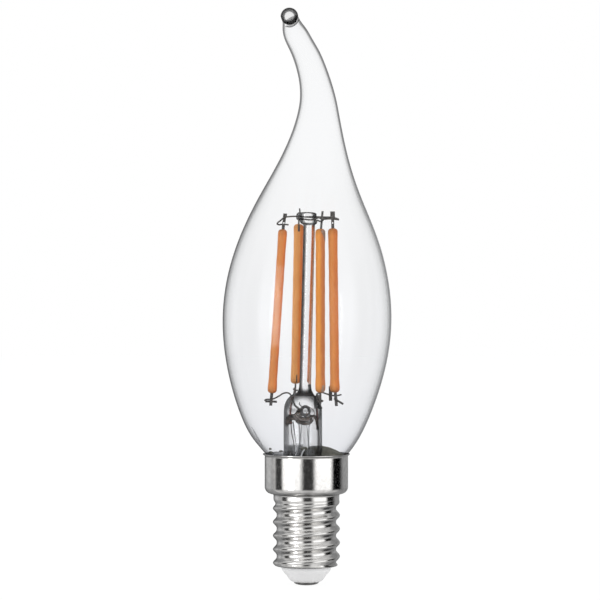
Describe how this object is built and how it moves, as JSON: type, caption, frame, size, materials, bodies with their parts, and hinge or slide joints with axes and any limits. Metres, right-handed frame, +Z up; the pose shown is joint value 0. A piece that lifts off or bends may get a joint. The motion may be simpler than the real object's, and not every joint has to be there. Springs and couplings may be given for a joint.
{
  "type": "candle light bulb",
  "caption": "Clear glass candle lamp with a bent flame tip, upright LED filaments on a glass stem and a plated E14 screw cap.",
  "frame": {"origin": "centre of the centre contact's crown, the lowest point of the bulb", "axes": "+Z up the lamp axis to the tip; the tip bends to -X, and the picture looks along +Y"},
  "size_m": [0.0348, 0.0348, 0.119],
  "materials": {
    "clear_glass": "clear, fire polished",
    "phosphor": "translucent silicone with phosphor, satin",
    "tab_metal": "dull stamped strip",
    "lead_wire": "drawn nickel wire",
    "seal_copper": "oxidised copper cladding",
    "copper_wire": "drawn copper",
    "cap_nickel": "nickel plate, bright",
    "contact_metal": "stamped and plated",
    "insulator_white": "moulded, satin",
    "cement": "baked cement, matte",
    "board_green": "solder mask",
    "package_black": "moulded",
    "can_sleeve": "shrink sleeve",
    "resistor_body": "lacquer"
  },
  "bodies": {
    "root": {"glass_envelope": "clear_glass", "stem_flare": "clear_glass", "stem_column": "clear_glass", "exhaust_tube": "clear_glass", "filament_1": "phosphor", "filament_2": "phosphor", "filament_3": "phosphor", "filament_4": "phosphor", "upper_tab_1": "tab_metal", "upper_tab_2": "tab_metal", "upper_tab_3": "tab_metal", "upper_tab_4": "tab_metal", "lower_tab_1": "tab_metal", "lower_tab_2": "tab_metal", "lower_tab_3": "tab_metal", "lower_tab_4": "tab_metal", "bridge_wire_outer": "lead_wire", "bridge_wire_inner": "lead_wire", "inner_lead_left": "lead_wire", "inner_lead_right": "lead_wire", "branch_lead_left": "lead_wire", "branch_lead_right": "lead_wire", "seal_wire_left": "seal_copper", "seal_wire_right": "seal_copper", "outer_lead_left": "copper_wire", "outer_lead_right": "copper_wire", "contact_lead": "copper_wire", "shell_lead": "copper_wire", "cap_shell": "cap_nickel", "centre_contact": "contact_metal", "cap_insulator": "insulator_white", "capping_cement": "cement", "driver_board": "board_green", "bridge_rectifier": "package_black", "driver_chip": "package_black", "smoothing_capacitor": "can_sleeve", "fusible_resistor": "resistor_body"}
  },
  "joints": []
}
